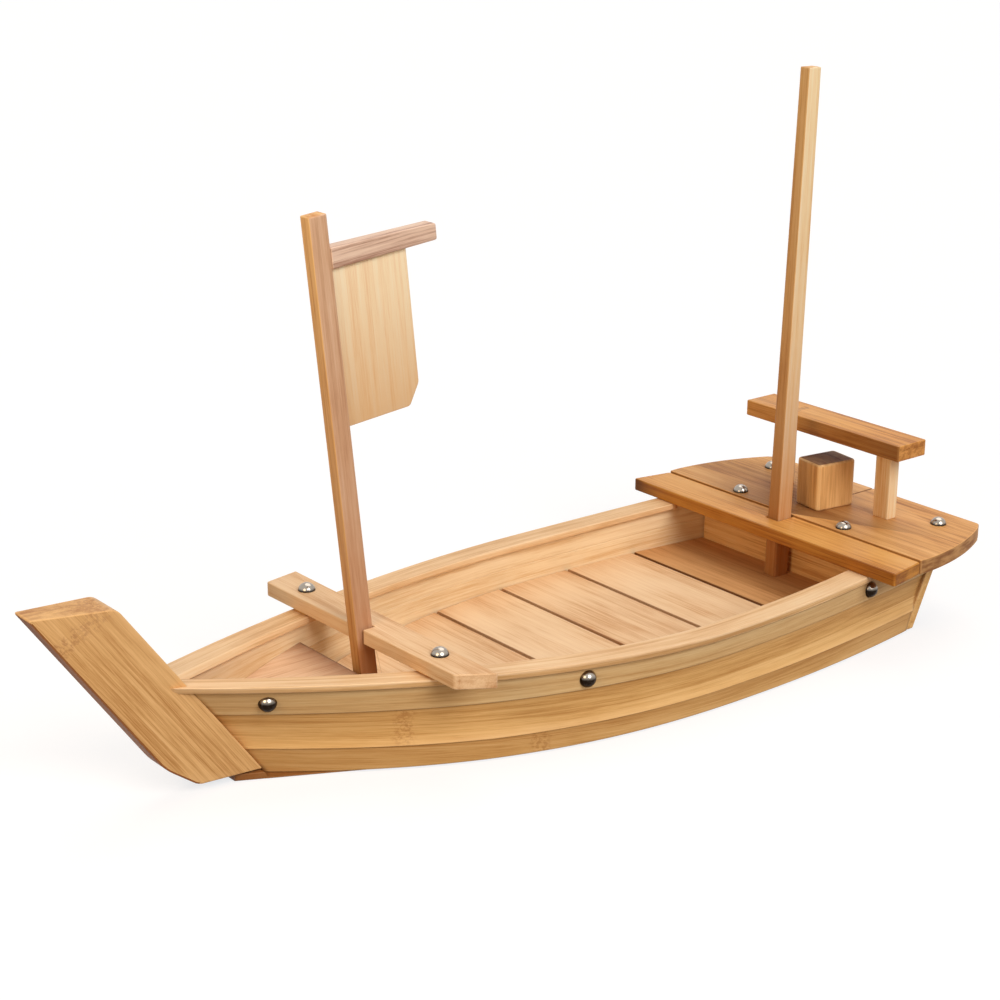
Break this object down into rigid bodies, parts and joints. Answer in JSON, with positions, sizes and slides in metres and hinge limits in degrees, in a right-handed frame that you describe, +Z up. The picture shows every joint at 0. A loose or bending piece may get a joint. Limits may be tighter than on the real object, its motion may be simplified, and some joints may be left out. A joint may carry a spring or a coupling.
{
  "type": "wooden sushi serving boat",
  "caption": "Flat-bottomed wooden boat for serving sushi, with lapped side strakes, planked floor, cross beams, stern deck with rail, and masts that lift out.",
  "frame": {"origin": "on the centre line, mid-length, on the underside of the bottom board", "axes": "+X from bow to stern, +Y to starboard, +Z up"},
  "size_m": [0.6053, 0.2276, 0.336],
  "materials": {
    "pale_wood": "sanded, bare, fine straight grain",
    "honey_wood": "sanded, bare, straight bamboo-like grain",
    "amber_wood": "oiled, fine straight grain",
    "nail_steel": "polished"
  },
  "bodies": {
    "boat": {"bottom_board": "honey_wood", "floor_batten_port": "honey_wood", "floor_batten_middle": "honey_wood", "floor_batten_starboard": "honey_wood", "floor_plank_1": "pale_wood", "floor_plank_2": "pale_wood", "floor_plank_3": "pale_wood", "floor_plank_4": "pale_wood", "floor_plank_5": "pale_wood", "floor_plank_6": "pale_wood", "port_lower_strake": "honey_wood", "port_middle_strake": "honey_wood", "port_upper_strake": "honey_wood", "port_rail_cap": "pale_wood", "port_riser": "honey_wood", "starboard_lower_strake": "honey_wood", "starboard_middle_strake": "honey_wood", "starboard_upper_strake": "honey_wood", "starboard_rail_cap": "pale_wood", "starboard_riser": "honey_wood", "stem_board": "honey_wood", "transom": "honey_wood", "bow_deck": "pale_wood", "bow_bulkhead": "honey_wood", "stern_bulkhead": "amber_wood", "front_beam": "pale_wood", "front_beam_wedges": "honey_wood", "rear_beam": "amber_wood", "rear_beam_dowels": "pale_wood", "port_stern_deck": "honey_wood", "starboard_stern_deck": "honey_wood", "deck_batten": "honey_wood", "deck_batten_dowels": "pale_wood", "rail_bar": "honey_wood", "port_rail_post": "pale_wood", "starboard_rail_post": "pale_wood", "post_dowels": "pale_wood", "cabin_block": "honey_wood", "cabin_dowels": "pale_wood", "side_nails": "nail_steel", "front_beam_nails": "nail_steel", "deck_nails": "nail_steel", "front_mast_step": "honey_wood"},
    "front_mast": {"front_mast": "pale_wood", "sail_yard": "pale_wood", "yard_dowel": "honey_wood", "sail_board": "pale_wood"},
    "rear_mast": {"rear_mast": "pale_wood"}
  },
  "joints": [
    {"name": "front_mast_lift", "type": "slide", "parent": "boat", "child": "front_mast", "axis": [-0.1045, 0, 0.9945], "range_m": [0, 0.055]},
    {"name": "rear_mast_lift", "type": "slide", "parent": "boat", "child": "rear_mast", "axis": [0.0279, 0, 0.9996], "range_m": [0, 0.055]}
  ]
}
